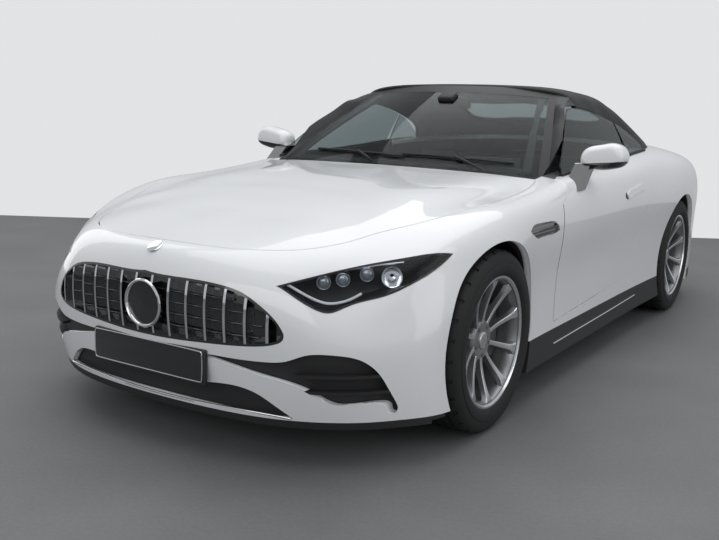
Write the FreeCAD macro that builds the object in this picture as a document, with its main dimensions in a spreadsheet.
# Roadster convertible: a two-door sports car with a closed soft top, standing on its wheels.
# Millimetres. The nose points to -Y, the car's left is +X, Z is up, and the origin is on the
# ground under the middle of the car. Places along the car are measured from the nose.

import FreeCAD
import Part

import math
import os
from types import SimpleNamespace

Vector = FreeCAD.Vector
Rotation = FreeCAD.Rotation

SIZES = [
    ("length", 4705, "nose to tail"),
    ("half_width", 957.5, "half of the body's width, without mirrors"),
    ("height", 1353, "ground to the top of the roof"),
    ("front_axle_from_nose", 910, "nose to front wheel centre"),
    ("wheelbase", 2700, "front to rear wheel centre"),
    ("panel", 28, "thickness of the outer panels"),
    ("shut_gap", 5, "gap round panels that open"),
    ("seat_gap", 0.3, "running clearance where a moving piece rests on its seat"),
    ("bearing_gap", 0.05, "running clearance of a shaft in its bore"),
    ("overrun", 60, "how far a cutting solid runs past what it cuts"),
    ("tyre_radius", 352, "tyre outside radius as it stands"),
    ("front_tyre_width", 255, "front tyre section"),
    ("rear_tyre_width", 285, "rear tyre section"),
    ("rim_radius", 254, "rim lip radius"),
    ("rim_wall", 9, "thickness of the rim barrel"),
    ("rim_bed_radius", 228, "inside of the rim barrel"),
    ("front_wheel_plane", 930, "outer face of the front tyres from the middle"),
    ("rear_wheel_plane", 938, "outer face of the rear tyres from the middle"),
    ("tyre_bulge", 12, "how far the tyre wall stands out past the rim lip"),
    ("hub_radius", 78, "solid middle of the wheel"),
    ("hub_depth", 52, "how far the hub's face lies inside the rim lip"),
    ("spoke_depth", 34, "thickness of the spokes along the axle"),
    ("bore_radius", 33.3, "centre bore of the wheel"),
    ("lug_circle", 112, "pitch circle of the five lug holes"),
    ("lug_hole_radius", 7.5, "lug hole"),
    ("disc_radius", 180, "brake disc outside radius"),
    ("disc_thickness", 32, "brake disc"),
    ("disc_from_face", 124, "tyre face to the outer face of the brake disc"),
    ("arch_radius", 388, "wheel arch"),
    ("liner", 6, "thickness of the wheel arch liner"),
    ("tub_radius", 408, "wheelhouse behind the arch's edge"),
    ("front_tub", 470, "inner wall of the front wheelhouses from the middle"),
    ("rear_tub", 610, "inner wall of the rear wheelhouses from the middle"),
    ("arch_edge", 880, "where the arch's edge gives way to the wheelhouse"),
    ("door_pivot_x", 860, "door hinge line from the middle"),
    ("door_pivot_from_nose", 1450, "nose to the door hinge line"),
    ("door_swing_radius", 124, "hinge line to the front edge of the door"),
    ("hinge_low", 470, "lower door hinge above the ground"),
    ("hinge_high", 740, "upper door hinge above the ground"),
    ("hinge_height", 60, "height of a door hinge"),
    ("floor_height", 150, "flat underside above the ground"),
    ("floor_top", 200, "top of the floor pan"),
    ("cabin_half_width", 742, "inside faces of the doors"),
    ("lamp_gap", 2, "joint round the lamps"),
    ("lamp_wall", 5, "wall of the lamp housings"),
    ("lamp_lens", 4, "thickness of the lamp lenses"),
    ("lamp_depth", 95, "depth of the headlamps behind the skin"),
    ("lamp_barrel", 20, "radius of the barrels inside the headlamps"),
    ("lamp_barrel_inset", 34, "front of those barrels behind the skin"),
    ("kingpin", 9, "radius of the kingpins"),
    ("slats_each_side", 7, "grille slats each side of the middle"),
    ("sill_line", 275, "lower edge of the painted sills"),
    ("bumper_low", 178, "lower edge of the painted front bumper"),
    ("firewall_from_nose", 1540, "nose to the cabin side of the firewall"),
    ("firewall", 60, "thickness of the firewall"),
    ("deck_from_nose", 3700, "nose to where the deck closes the body's top"),
    ("window_glass", 5, "thickness of the side windows"),
    ("screen_frame", 45, "depth of the windscreen frame"),
    ("screen_glass", 6, "thickness of the windscreen"),
    ("soft_top", 24, "thickness of the padded soft top"),
    ("rear_glass_inset", 6, "rear window behind the fabric's outer face"),
    ("grille_rim", 9, "rim round the grille"),
    ("grille_depth", 60, "depth of the grille's rim"),
    ("roundel_radius", 86, "plain roundel in the middle of the grille"),
    ("roundel_ring", 12, "ring of the roundel"),
    ("roundel_depth", 38, "depth of the roundel"),
    ("roundel_dish", 6, "depth of the dish inside the ring"),
    ("roundel_from_nose", 0, "nose to the face of the roundel"),
    ("roundel_height", 525, "middle of the roundel above the ground"),
    ("intake_inset", 30, "mesh of the intakes behind the skin"),
    ("intake_depth", 62, "back of the intakes behind the skin"),
    ("intake_fin", 10, "thickness of a blade across an intake"),
    ("intake_fin_from", 560, "inner ends of the intake blades from the middle"),
    ("splitter_from_nose", 480, "nose to the back of the splitter"),
    ("arch_depth", 600, "inner edge of the side skirts from the middle"),
    ("bay_shelf", 760, "inner wings under the bonnet"),
    ("cowl_top", 880, "body shell below the windscreen"),
    ("shelf_top", 930, "body shell below the deck"),
    ("tyre_shoulder", 16, "roundness of the tyre's shoulder"),
    ("hub_thickness", 54, "hub face to the mounting face"),
    ("spokes", 10, "number of spokes"),
    ("spoke_tip", 25, "width of a spoke at the rim"),
    ("spoke_base", 36, "width of a spoke at the hub"),
    ("spoke_root", 14, "rounding where the spokes meet rim and hub"),
    ("lugs", 5, "number of lug holes"),
    ("disc_bell", 84, "bell of the brake disc"),
    ("caliper_wall", 18, "caliper each side of the brake disc"),
    ("caliper_gap", 8, "caliper to the rim barrel"),
    ("caliper_reach", 62, "how far the caliper reaches over the disc"),
    ("caliper_play", 2, "caliper clear of the disc"),
    ("caliper_length", 210, "length of the caliper"),
    ("upright", 36, "thickness of the knuckle"),
    ("kingpin_half", 150, "wheel centre to each ball joint"),
    ("steer_arm", 130, "length of the steering arm"),
    ("steer_arm_drop", 40, "steering arm below the wheel centre"),
    ("arm", 30, "thickness of the suspension arms"),
    ("beam_half", 45, "half of the front crossmember along the car"),
    ("tower_in", 375, "inside of the front suspension towers"),
    ("tower_out", 430, "outside of the front suspension towers"),
    ("rear_beam_half", 60, "half of the rear crossmember along the car"),
    ("rear_beam_low", 240, "underside of the rear crossmember"),
    ("engine_half", 330, "half width of the engine"),
    ("engine_from_nose", 640, "nose to the engine"),
    ("engine_length", 680, "length of the engine"),
    ("engine_low", 300, "sump height"),
    ("engine_high", 720, "top of the engine"),
    ("handle_proud", 3, "how far the door handle stands out"),
    ("cowl_drop", 30, "black cowl below the line of the bonnet"),
    ("cowl_sheet", 8, "thickness of the cowl"),
    ("lid_room", 8, "body shell clear of the lids' undersides"),
    ("lid_seat", 20, "thickness of the flange under the boot lid's front edge"),
    ("lid_seat_from_nose", 3757, "nose to that flange"),
    ("lid_seat_length", 44, "width of that flange"),
    ("scuttle_end", 1582, "nose to the rear of the scuttle"),
    ("scuttle_low", 790, "underside of the scuttle"),
    ("hinge_pad", 50, "width of the door hinges' seats"),
    ("vent_depth", 20, "depth of the vents behind the front wheels"),
    ("vent_fin", 6, "thickness of a fin in those vents"),
    ("mirror_from_nose", 1885, "nose to the mirror heads"),
    ("mirror_depth", 105, "mirror head along the car"),
    ("mirror_round", 26, "rounding of the mirror head's front"),
    ("mirror_rim", 9, "rim round the mirror glass"),
    ("mirror_foot_x", 832, "inner end of the mirror arm"),
    ("mirror_root_x", 905, "outer end of the mirror arm"),
    ("dash_half", 715, "half width of the dashboard"),
    ("console_half", 110, "half width of the console"),
    ("seat_inside", 125, "inner side of a front seat from the middle"),
    ("seat_outside", 640, "outer side of a front seat from the middle"),
    ("seat_round", 14, "rounding of the seats"),
    ("rear_seat_inside", 90, "inner side of a rear seat from the middle"),
    ("rear_seat_outside", 540, "outer side of a rear seat from the middle"),
    ("column_rake", 24, "degrees the steering column rises to the rear"),
    ("column_length", 190, "steering wheel to the end of its shaft in the dashboard"),
    ("steering_radius", 172, "steering wheel"),
    ("steering_grip", 14, "radius of the steering wheel's rim"),
    ("steering_hub", 60, "boss of the steering wheel"),
    ("tip_proud", 4, "how far the exhaust tips stand out"),
    ("tip_length", 120, "depth of the exhaust tips"),
    ("tip_inside", 440, "inner side of an exhaust tip from the middle"),
    ("tip_outside", 620, "outer side of an exhaust tip from the middle"),
    ("tip_low", 265, "underside of the exhaust tips"),
    ("tip_high", 335, "top of the exhaust tips"),
    ("tip_wall", 8, "wall of the exhaust tips"),
    ("slat", 9, "width of a grille slat"),
    ("slat_pitch", 75, "spacing of the grille slats"),
    ("slat_depth", 40, "depth of a grille slat"),
    ("rear_wall_from_nose", 3330, "nose to the wall behind the rear seats"),
    ("rear_wall", 50, "thickness of the wall behind the rear seats"),
    ("bay_half_width", 430, "engine bay between the wheelhouses"),
    ("bay_from_nose", 420, "nose to the radiator end of the engine bay"),
    ("bay_floor", 230, "floor of the engine bay"),
    ("boot_half_width", 520, "inside of the boot"),
    ("boot_floor", 420, "floor of the boot"),
    ("boot_end_from_nose", 4480, "nose to the rear wall of the boot"),
]

doc = FreeCAD.newDocument("roadster")
sheet = doc.addObject("Spreadsheet::Sheet", "sizes")
for row, (alias, value, meaning) in enumerate(SIZES, 1):
    sheet.set("A%d" % row, alias)
    sheet.set("B%d" % row, str(value))
    sheet.set("C%d" % row, meaning)
    sheet.setAlias("B%d" % row, alias)
doc.recompute()
mm = SimpleNamespace(**{alias: float(getattr(sheet, alias)) for alias, value, meaning in SIZES})

ORIGIN = Vector(0, 0, 0)
LEFT = Vector(1, 0, 0)
REARWARD = Vector(0, 1, 0)
UP = Vector(0, 0, 1)

parts = {}
OUTLINE_STEPS = 24


def at(x, from_nose, z):
    """A place given by its distance from the nose."""
    return Vector(x, from_nose - mm.length / 2, z)


def spot(x_share, s_share, z_share):
    """A place on the body as shares of half width, length and height."""
    return at(x_share * mm.half_width, s_share * mm.length, z_share * mm.height)


def add(name, shape):
    """One named piece in the document."""
    piece = doc.addObject("Part::Feature", name)
    piece.Label = name
    piece.Shape = shape
    parts[name] = piece
    return piece


def largest(shape):
    return max(shape.Solids, key=lambda solid: solid.Volume)


def mirror(shape):
    return shape.mirror(ORIGIN, LEFT)


def pair(shape):
    """A left-hand solid and its right-hand twin, which do not touch."""
    return Part.makeCompound([shape, mirror(shape)])


def joined(shape):
    """A left-hand half that meets its twin on the middle plane, as one solid."""
    return shape.fuse(mirror(shape)).removeSplitter()


def block(x_low, x_high, s_low, s_high, z_low, z_high):
    return Part.makeBox(x_high - x_low, s_high - s_low, z_high - z_low, at(x_low, s_low, z_low))


def run(points):
    """A straight edge through two points, or a smooth one through more."""
    if len(points) == 2:
        return Part.makeLine(points[0], points[1])
    curve = Part.BSplineCurve()
    curve.interpolate(points)
    return curve.toShape()


def outline(*runs):
    """A closed face bounded by runs that each start where the last one ends."""
    edges = [run(points) for points in runs]
    if (runs[0][0] - runs[-1][-1]).Length > mm.seat_gap:
        edges.append(Part.makeLine(runs[-1][-1], runs[0][0]))
    return Part.Face(Part.Wire(edges))


def past_middle(*runs):
    """A closed face over the left half whose runs start and end on the middle plane, and which
    runs past that plane a little, so that it cuts a half body cleanly there."""
    first, last = runs[0][0], runs[-1][-1]
    step = LEFT * mm.overrun
    return outline([first - step, first], *runs, [last, last - step])


def ring(points):
    """A face inside one smooth closed curve."""
    curve = Part.BSplineCurve()
    curve.interpolate(points, PeriodicFlag=True)
    return Part.Face(Part.Wire([curve.toShape()]))


def resized(face, distance):
    """A flat face with its outline moved outwards by a distance, or inwards if it is negative."""
    if not distance:
        return face
    stretches = []
    for edge in face.makeOffset2D(distance).OuterWire.OrderedEdges:
        straight = edge.Curve.TypeId == "Part::GeomLine"
        stretches.append(edge.discretize(2 if straight else OUTLINE_STEPS))
    if len(stretches) == 1:
        return ring(stretches[0][:-1])
    gaps = [min((end - stretches[1][0]).Length, (end - stretches[1][-1]).Length) for end in
            (stretches[0][0], stretches[0][-1])]
    if gaps[0] < gaps[1]:
        stretches[0].reverse()
    last = stretches[0][-1]
    for points in stretches[1:]:
        if (points[0] - last).Length > (points[-1] - last).Length:
            points.reverse()
        points[0] = last
        last = points[-1]
    stretches[-1][-1] = stretches[0][0]
    return Part.Face(Part.Wire([run(points) for points in stretches]))


def plan(points):
    """Places in plan, laid on the ground."""
    return [spot(x, s, 0) for x, s in points]


def profile(points):
    """Places in the side view, laid on the middle plane."""
    return [spot(0, s, z) for s, z in points]


def front(points):
    """Places in the front view, laid across the nose."""
    return [spot(x, 0, z) for x, z in points]


def tower(face, z_low, z_high):
    """A plan face raised from one height to another."""
    lifted = face.copy()
    lifted.translate(UP * z_low)
    return lifted.extrude(UP * (z_high - z_low))


def across(face, x_low, x_high):
    """A side-view face run across the car."""
    moved = face.copy()
    moved.translate(LEFT * x_low)
    return moved.extrude(LEFT * (x_high - x_low))


def cut_out(places, x_low, x_high):
    """A side-view outline of straight lines run across the car."""
    return across(Part.Face(Part.makePolygon(profile(places + places[:1]))), x_low, x_high)


def along(face, s_low, s_high):
    """A front-view face run along the car."""
    moved = face.copy()
    moved.translate(REARWARD * s_low)
    return moved.extrude(REARWARD * (s_high - s_low))


def steps(rows):
    """Parameter values for the columns of a net of points, by their mean spacing."""
    values = [0.0]
    for low, high in zip(zip(*rows), list(zip(*rows))[1:]):
        mean = sum((b - a).Length for a, b in zip(low, high)) / len(rows)
        values.append(values[-1] + mean)
    return values


def flipped(points):
    return [Vector(-p.x, p.y, p.z) for p in reversed(points)]


def middle_stretch(points, values, last):
    """A smooth curve through points, kept from value 0 to the last value."""
    curve = Part.BSplineCurve()
    curve.interpolate(Points=points, Parameters=values)
    curve.segment(0, last)
    return curve


def woven(net, mirrored_ends):
    """A smooth surface through a net of points, whose last column lies on the middle plane.

    The net is mirrored in the middle plane before it is interpolated, so that both halves of
    the car meet without a crease. mirrored_ends does the same past the first and last rows."""
    v = steps(net)
    u = steps([list(column) for column in zip(*net)])
    v_all = v + [2 * v[-1] - value for value in reversed(v[:-1])]
    curves = [middle_stretch(row + flipped(row[:-1]), v_all, v[-1]) for row in net]
    columns = [list(column) for column in zip(*[curve.getPoles() for curve in curves])]
    if mirrored_ends:
        u_all = [-value for value in reversed(u[1:])] + u
        u_all = u_all + [2 * u[-1] - value for value in reversed(u[:-1])]
        columns = [flipped(column[1:]) + column + flipped(column[:-1]) for column in columns]
    else:
        u_all = u
    lines = [middle_stretch(column, u_all, u[-1]) for column in columns]
    poles = [list(row) for row in zip(*[line.getPoles() for line in lines])]
    surface = Part.BSplineSurface()
    surface.buildFromPolesMultsKnots(
        poles, lines[0].getMultiplicities(), curves[0].getMultiplicities(),
        lines[0].getKnots(), curves[0].getKnots(), False, False, 3, 3)
    return surface, u, v


# The painted skin, left half. Each row starts at the lower edge of the body, climbs the side,
# passes over the wing and ends on the middle of the bonnet or deck. The rows run from the nose
# round the flank to the tail.
SKIN_SHARES = [
    [(0, 0.0166, 0.1109), (0, 0.0106, 0.1922), (0, 0.0043, 0.2956), (0, 0.0011, 0.3917),
     (0, 0.0043, 0.473), (0, 0.0132, 0.5262),
     (0, 0.0298, 0.5455), (0, 0.0563, 0.5661), (0, 0.0776, 0.5817), (0, 0.0893, 0.5891)],
    [(0.282, 0.0196, 0.1109), (0.2778, 0.0132, 0.1922), (0.2736, 0.0074, 0.2956),
     (0.2695, 0.0051, 0.3917), (0.2632, 0.0085, 0.4693), (0.2559, 0.0187, 0.5211),
     (0.2423, 0.034, 0.5447), (0.1984, 0.0616, 0.5684), (0.1149, 0.0829, 0.5839), (0, 0.0956, 0.5935)],
    [(0.5431, 0.0319, 0.1109), (0.5379, 0.0247, 0.1922), (0.5305, 0.0187, 0.2956),
     (0.5222, 0.017, 0.3843), (0.5117, 0.0213, 0.4545), (0.4992, 0.0319, 0.5085),
     (0.4721, 0.0499, 0.5469), (0.3864, 0.0765, 0.578), (0.2245, 0.0978, 0.5935), (0, 0.1084, 0.6016)],
    [(0.7499, 0.0574, 0.1109), (0.7457, 0.0493, 0.1922), (0.7373, 0.0429, 0.2956),
     (0.7279, 0.0451, 0.3695), (0.7175, 0.0525, 0.425), (0.6841, 0.0638, 0.5026),
     (0.6319, 0.0818, 0.5528), (0.5013, 0.102, 0.5854), (0.2977, 0.119, 0.6075), (0, 0.1275, 0.6149)],
    [(0.8668, 0.084, 0.1109), (0.8648, 0.0782, 0.1922), (0.8585, 0.0733, 0.2956),
     (0.8512, 0.0769, 0.3769), (0.8585, 0.0918, 0.4701), (0.8146, 0.1027, 0.5307),
     (0.6601, 0.1148, 0.5824), (0.5222, 0.1296, 0.6075), (0.3029, 0.1445, 0.6231), (0, 0.1509, 0.6282)],
    [(0.9452, 0.1105, 0.1109), (0.9431, 0.1073, 0.1922), (0.9379, 0.1052, 0.2956),
     (0.9274, 0.1084, 0.3991), (0.9003, 0.118, 0.4989), (0.8543, 0.1254, 0.5595),
     (0.6841, 0.136, 0.5957), (0.5326, 0.1488, 0.6194), (0.3029, 0.1637, 0.6334), (0, 0.17, 0.6386)],
    [(0.9661, 0.153, 0.1109), (0.9661, 0.152, 0.1922), (0.9661, 0.1509, 0.2956),
     (0.9661, 0.1509, 0.3991), (0.9473, 0.152, 0.5174), (0.8877, 0.1562, 0.5898),
     (0.7206, 0.1626, 0.6105), (0.5431, 0.1743, 0.6327), (0.3029, 0.187, 0.643), (0, 0.1923, 0.6475)],
    [(0.9838, 0.1934, 0.1109), (0.9838, 0.1934, 0.1922), (0.9859, 0.1934, 0.2956),
     (0.9869, 0.1934, 0.4139), (0.9796, 0.1934, 0.5322), (0.9086, 0.1945, 0.6149),
     (0.7467, 0.1977, 0.6268), (0.564, 0.204, 0.6467), (0.3133, 0.2147, 0.6548), (0, 0.221, 0.6593)],
    [(0.9661, 0.2444, 0.1109), (0.9587, 0.2444, 0.1922), (0.9525, 0.2444, 0.2956),
     (0.9608, 0.2444, 0.4139), (0.9734, 0.2444, 0.5322),
     (0.9243, 0.2444, 0.6223), (0.7676, 0.2465, 0.6415), (0.5849, 0.2508, 0.66),
     (0.3238, 0.2572, 0.6681), (0, 0.2614, 0.6726)],
    [(0.9556, 0.3082, 0.1109), (0.9452, 0.3082, 0.1922), (0.9399, 0.3082, 0.2956),
     (0.9483, 0.3082, 0.4139), (0.9661, 0.3082, 0.5322),
     (0.9295, 0.3082, 0.6327), (0.7937, 0.3092, 0.66), (0.6057, 0.3114, 0.6741),
     (0.3342, 0.3146, 0.6822), (0, 0.3167, 0.6859)],
    [(0.9556, 0.3932, 0.1109), (0.9452, 0.3932, 0.1922), (0.9399, 0.3932, 0.2956),
     (0.9462, 0.3932, 0.4139), (0.9661, 0.3932, 0.5395),
     (0.9326, 0.3932, 0.6504), (0.8303, 0.3932, 0.6888), (0.6266, 0.3932, 0.6984),
     (0.3446, 0.3932, 0.7058), (0, 0.3932, 0.7095)],
    [(0.9556, 0.4888, 0.1109), (0.9462, 0.4888, 0.1922), (0.942, 0.4888, 0.2956),
     (0.9483, 0.4888, 0.4213), (0.9661, 0.4888, 0.5506),
     (0.9358, 0.4888, 0.6578), (0.8376, 0.4888, 0.7007), (0.6266, 0.4888, 0.7132),
     (0.3446, 0.4888, 0.7206), (0, 0.4888, 0.7243)],
    [(0.9556, 0.5951, 0.1109), (0.9483, 0.5951, 0.1922), (0.9452, 0.5951, 0.2956),
     (0.9556, 0.5951, 0.4287), (0.9734, 0.5951, 0.5617),
     (0.9399, 0.5951, 0.6763), (0.8303, 0.5951, 0.728), (0.6266, 0.5951, 0.7428),
     (0.3446, 0.5951, 0.7502), (0, 0.5951, 0.7539)],
    [(0.9661, 0.6908, 0.1109), (0.9608, 0.6908, 0.1922), (0.9608, 0.6908, 0.2956),
     (0.9755, 0.6908, 0.4361), (0.9922, 0.6908, 0.5691),
     (0.9452, 0.6908, 0.6874), (0.8146, 0.6908, 0.7465), (0.6162, 0.6908, 0.7613),
     (0.3394, 0.6908, 0.7687), (0, 0.6908, 0.7724)],
    [(0.9734, 0.7673, 0.1109), (0.9734, 0.7673, 0.1922), (0.9755, 0.7673, 0.2956),
     (0.988, 0.7673, 0.4435), (0.9995, 0.7673, 0.5839),
     (0.9452, 0.7673, 0.6948), (0.7812, 0.7673, 0.7502), (0.5901, 0.7694, 0.7672),
     (0.3238, 0.7715, 0.7761), (0, 0.7736, 0.779)],
    [(0.9661, 0.8395, 0.1109), (0.9661, 0.8395, 0.1922), (0.9661, 0.8395, 0.2956),
     (0.9765, 0.8395, 0.4435), (0.9796, 0.8395, 0.5802),
     (0.9191, 0.8385, 0.6859), (0.7467, 0.8363, 0.7332), (0.564, 0.8342, 0.7509),
     (0.3133, 0.8321, 0.7598), (0, 0.831, 0.7627)],
    [(0.8982, 0.9118, 0.1109), (0.9044, 0.9097, 0.1922), (0.9107, 0.9086, 0.2956),
     (0.917, 0.9075, 0.4435), (0.9107, 0.9058, 0.5765),
     (0.848, 0.899, 0.6689), (0.6997, 0.8867, 0.711), (0.5222, 0.8767, 0.7317),
     (0.2872, 0.8689, 0.7435), (0, 0.865, 0.748)],
    [(0.7363, 0.9564, 0.1109), (0.7572, 0.9586, 0.1922), (0.7781, 0.9596, 0.2956),
     (0.7885, 0.9586, 0.4435), (0.7781, 0.9564, 0.5802),
     (0.7206, 0.9437, 0.6615), (0.611, 0.9235, 0.6984), (0.4491, 0.9058, 0.7206),
     (0.2454, 0.8927, 0.7347), (0, 0.8867, 0.7406)],
    [(0.4491, 0.9777, 0.1109), (0.47, 0.9841, 0.1922), (0.4856, 0.9883, 0.2956),
     (0.4961, 0.9887, 0.4435), (0.4888, 0.9862, 0.5839),
     (0.4595, 0.9702, 0.6741), (0.4021, 0.9462, 0.7058), (0.3029, 0.9235, 0.7214),
     (0.1671, 0.9058, 0.731), (0, 0.899, 0.7361)],
    [(0, 0.9841, 0.1109), (0, 0.9926, 0.1922), (0, 0.9985, 0.2956), (0, 1, 0.4435),
     (0, 0.9968, 0.5839), (0, 0.9815, 0.68),
     (0, 0.9564, 0.711), (0, 0.933, 0.7243), (0, 0.9139, 0.7317), (0, 0.9044, 0.7347)],
]

skin_net = [[spot(*place) for place in row] for row in SKIN_SHARES]
skin, skin_u, skin_v = woven(skin_net, True)


def hull(inset):
    """The left half of the body as a solid, with its skin moved inwards by an inset."""
    net = skin_net
    surface = skin
    if inset:
        net = []
        for u, row in zip(skin_u, skin_net):
            u = min(max(u, mm.panel), skin_u[-1] - mm.panel)
            moved = []
            for v, place in zip(skin_v, row):
                normal = skin.normal(u, min(v, skin_v[-1] - mm.panel))
                outward = Vector(place.x, place.y / 2, place.z - row[0].z)
                if normal.dot(outward) < 0:
                    normal = -normal
                moved.append(place - normal * inset)
            moved[0].z = row[0].z - (mm.overrun if inset > 0 else 0)
            moved[-1].x = 0
            if row is skin_net[0] or row is skin_net[-1]:
                moved = [Vector(0, place.y, place.z) for place in moved]
            net.append(moved)
        surface = woven(net, True)[0]
    face = Part.Face(surface)
    ends = [Vector(0, net[0][0].y, net[0][0].z), Vector(0, net[-1][0].y, net[-1][0].z)]
    keel = Part.makeLine(ends[0], ends[1])
    low = [edge for edge in face.Edges if edge.BoundBox.ZLength < mm.seat_gap]
    centre = [edge for edge in face.Edges if edge.BoundBox.XLength < mm.seat_gap]
    sheets = [face]
    for edges in (low, centre):
        sheets.append(Part.Face(Part.Wire(Part.__sortEdges__(edges + [keel]))))
    shell = Part.Shell(sheets)
    shell.sewShape()
    return Part.Solid(shell)


outer = hull(0)
inner = hull(mm.panel)
panels = outer.cut(inner)

low_z = -mm.overrun
high_z = mm.height
wide_x = mm.half_width + mm.overrun
front_axle = mm.front_axle_from_nose
rear_axle = front_axle + mm.wheelbase
wheel_height = mm.tyre_radius

# The bonnet's shut line runs round the nose and back along the crest of the wings.
BONNET_EDGE_SHARES = [
    (0, 0.024), (0.1629, 0.0259), (0.3582, 0.0346), (0.5013, 0.051), (0.5849, 0.0744),
    (0.6517, 0.1063), (0.7311, 0.143), (0.8094, 0.187),
    (0.8355, 0.2402), (0.8303, 0.2973), (0.7812, 0.3486),
]
BONNET_REAR_SHARES = [
    (0.7812, 0.3486), (0.5849, 0.3433), (0.3133, 0.3386), (0, 0.3369),
]
BONNET_FLOOR_SHARE = 0.4
bonnet_face = past_middle(plan(BONNET_EDGE_SHARES), plan(BONNET_REAR_SHARES))
bonnet_zone = tower(resized(bonnet_face, mm.shut_gap / 2), BONNET_FLOOR_SHARE * mm.height, high_z)
bonnet_cut = tower(resized(bonnet_face, -mm.shut_gap / 2), BONNET_FLOOR_SHARE * mm.height, high_z)

# The headlamp's outline, on the skin.
LAMP_TOP_SHARES = [
    (0.5128, 0.0238, 0.4686), (0.5995, 0.0425, 0.49), (0.7112, 0.0744, 0.5144),
    (0.8146, 0.1027, 0.5307), (0.8616, 0.1146, 0.5373), (0.9065, 0.132, 0.5336),
]
LAMP_LOW_SHARES = [
    (0.9065, 0.132, 0.5336), (0.893, 0.1146, 0.5026), (0.8574, 0.0916, 0.4708), (0.8, 0.0727, 0.4435),
    (0.7154, 0.0512, 0.4213), (0.6736, 0.0404, 0.4072),
    (0.6329, 0.0344, 0.4169), (0.5786, 0.0289, 0.4405), (0.5128, 0.0238, 0.4686),
]
LAMP_LOOK = Vector(0.53, -0.85, 0)


def facing(points, look):
    """Places moved along a look direction into one plane square to it."""
    look = Vector(look).normalize()
    return [place - look * place.dot(look) for place in points]


def shaft(face, look, reach_low, reach_high):
    """A face run along its look direction between two distances from the origin."""
    look = Vector(look).normalize()
    moved = face.copy()
    moved.translate(look * reach_low)
    return moved.extrude(look * (reach_high - reach_low))


lamp_top = [spot(*place) for place in LAMP_TOP_SHARES]
lamp_low = [spot(*place) for place in LAMP_LOW_SHARES]
lamp_face = outline(facing(lamp_top, LAMP_LOOK), facing(lamp_low, LAMP_LOOK))
lamp_reach = spot(*LAMP_TOP_SHARES[-1]).dot(Vector(LAMP_LOOK).normalize()) - mm.tyre_radius
lamp_zone = shaft(lamp_face, LAMP_LOOK, lamp_reach, mm.length)
lamp_cut = shaft(resized(lamp_face, -mm.lamp_gap), LAMP_LOOK, lamp_reach, mm.length)
lamp_inside = shaft(resized(lamp_face, -mm.lamp_gap - mm.lamp_wall), LAMP_LOOK, lamp_reach, mm.length)

# The radiator grille, seen from the front.
GRILLE_TOP_SHARES = [
    (0, 0.4715), (0.1995, 0.4671), (0.3363, 0.4612), (0.4178, 0.4479), (0.4762, 0.425),
    (0.5305, 0.3932), (0.5619, 0.3585),
]
GRILLE_LOW_SHARES = [
    (0.5619, 0.3585), (0.5577, 0.3415), (0.5274, 0.3296), (0.4595, 0.3208), (0.2747, 0.3119),
    (0.1305, 0.3067), (0, 0.3052),
]
grille_face = past_middle(front(GRILLE_TOP_SHARES), front(GRILLE_LOW_SHARES))

# The dark intake at each corner of the nose, with the slot that leads to it from the plate.
INTAKE_TOP_SHARES = [
    (0.2632, 0.2838), (0.3655, 0.2831), (0.4856, 0.2838), (0.5723, 0.2919), (0.6298, 0.3089),
    (0.7039, 0.3112), (0.776, 0.2979), (0.8146, 0.2661),
    (0.8355, 0.2254), (0.8512, 0.1848), (0.8543, 0.1611), (0.8439, 0.15),
]
INTAKE_LOW_SHARES = [
    (0.8439, 0.15), (0.8303, 0.1552), (0.8272, 0.1693), (0.6956, 0.1796), (0.6371, 0.2055),
    (0.565, 0.2306), (0.4762, 0.2446), (0.3708, 0.2602),
    (0.2632, 0.2749),
]
intake_face = outline(front(INTAKE_TOP_SHARES), front(INTAKE_LOW_SHARES))

# The wide dark opening under the plate.
LOWER_TOP_SHARES = [
    (0, 0.2092), (0.2517, 0.2055), (0.4595, 0.1951), (0.5222, 0.1641), (0.5723, 0.136),
]
LOWER_LOW_SHARES = [
    (0.5723, 0.136), (0.3133, 0.1404), (0, 0.1426),
]
lower_face = past_middle(front(LOWER_TOP_SHARES), front(LOWER_LOW_SHARES))

NOSE_REACH_SHARE = 0.12
nose_reach = NOSE_REACH_SHARE * mm.length
nose_start = -mm.length / 2 - mm.overrun


def through_nose(face):
    """A front-view face run back through the nose."""
    return along(face, -mm.overrun, nose_reach)


def smaller(points, rim):
    """An outline drawn in from every side by a rim, by scaling it about its middle."""
    low, high = min(p.z for p in points), max(p.z for p in points)
    wide = max(p.x for p in points)
    middle = (low + high) / 2
    x_scale = (wide - rim) / wide
    z_scale = (high - low - 2 * rim) / (high - low)
    return [Vector(p.x * x_scale, p.y, middle + (p.z - middle) * z_scale) for p in points]


# The line on which the bumper meets the wing, in plan; the wing lies behind it.
WING_SHARES = [
    (0.5013, 0.0818), (0.7676, 0.0818), (0.8355, 0.0967), (0.8825, 0.119), (0.9107, 0.1328),
    (1.0548, 0.1392), (1.0548, 0.3348), (0.5013, 0.3348),
]
wing_zone = tower(Part.Face(Part.makePolygon(plan(WING_SHARES + WING_SHARES[:1]))), 0, high_z)
WING_TAIL_SHARES = (0.3, 0.39, 0.585)
wing_zone = wing_zone.fuse(block(mm.cabin_half_width, wide_x, WING_TAIL_SHARES[0] * mm.length,
                                 WING_TAIL_SHARES[1] * mm.length, WING_TAIL_SHARES[2] * mm.height, high_z))

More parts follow.
